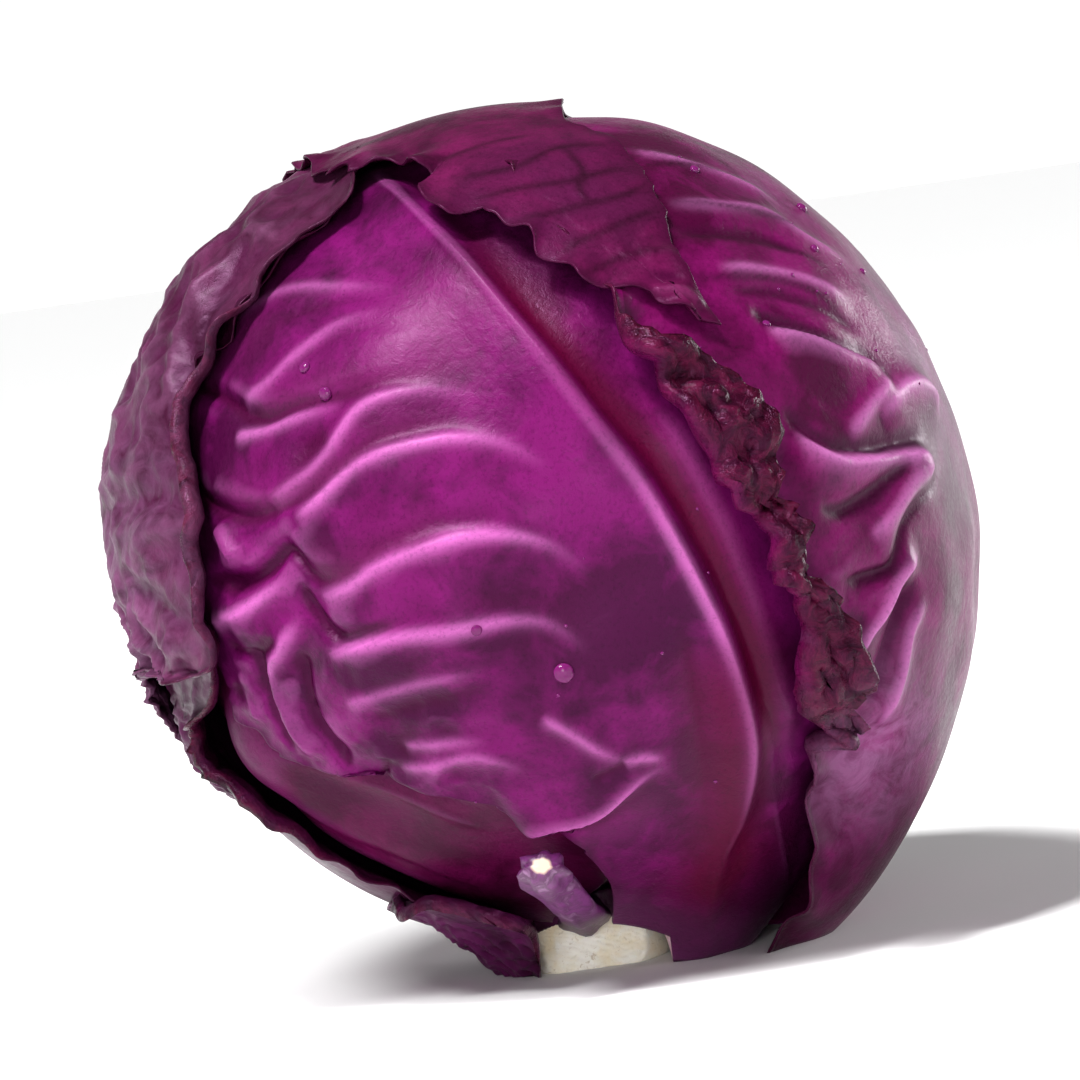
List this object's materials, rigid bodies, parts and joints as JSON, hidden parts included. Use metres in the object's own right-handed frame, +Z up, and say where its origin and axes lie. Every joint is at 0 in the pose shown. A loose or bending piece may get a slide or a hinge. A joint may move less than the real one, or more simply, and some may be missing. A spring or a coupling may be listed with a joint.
{
  "type": "red cabbage head",
  "caption": "Head of red cabbage standing on its cut stalk: a dense heart wrapped in loose, ribbed and crinkled outer leaves, with a small side shoot.",
  "frame": {"origin": "on the level cut face that the head stands on, below the axis of the head", "axes": "+Z up from the cut to the crown, -Y the front, where the large leaf with the long midrib shows, +X to the right"},
  "size_m": [0.1598, 0.1591, 0.1602],
  "materials": {
    "stalk": "matte, freshly cut",
    "heart": "satin, waxy",
    "front_leaf": "satin, waxy",
    "inner_leaf": "satin, waxy",
    "outer_leaf": "satin, waxy",
    "wilted_leaf": "dull, waxy bloom",
    "shoot": "satin"
  },
  "bodies": {
    "root": {"stalk": "stalk", "heart": "heart", "under_leaf": "inner_leaf", "front_leaf": "front_leaf", "lower_left_leaf": "inner_leaf", "outer_left_leaf": "wilted_leaf", "right_leaf": "outer_leaf", "back_leaf": "outer_leaf", "trimmed_leaf_base": "inner_leaf", "side_shoot": "shoot"}
  },
  "joints": []
}
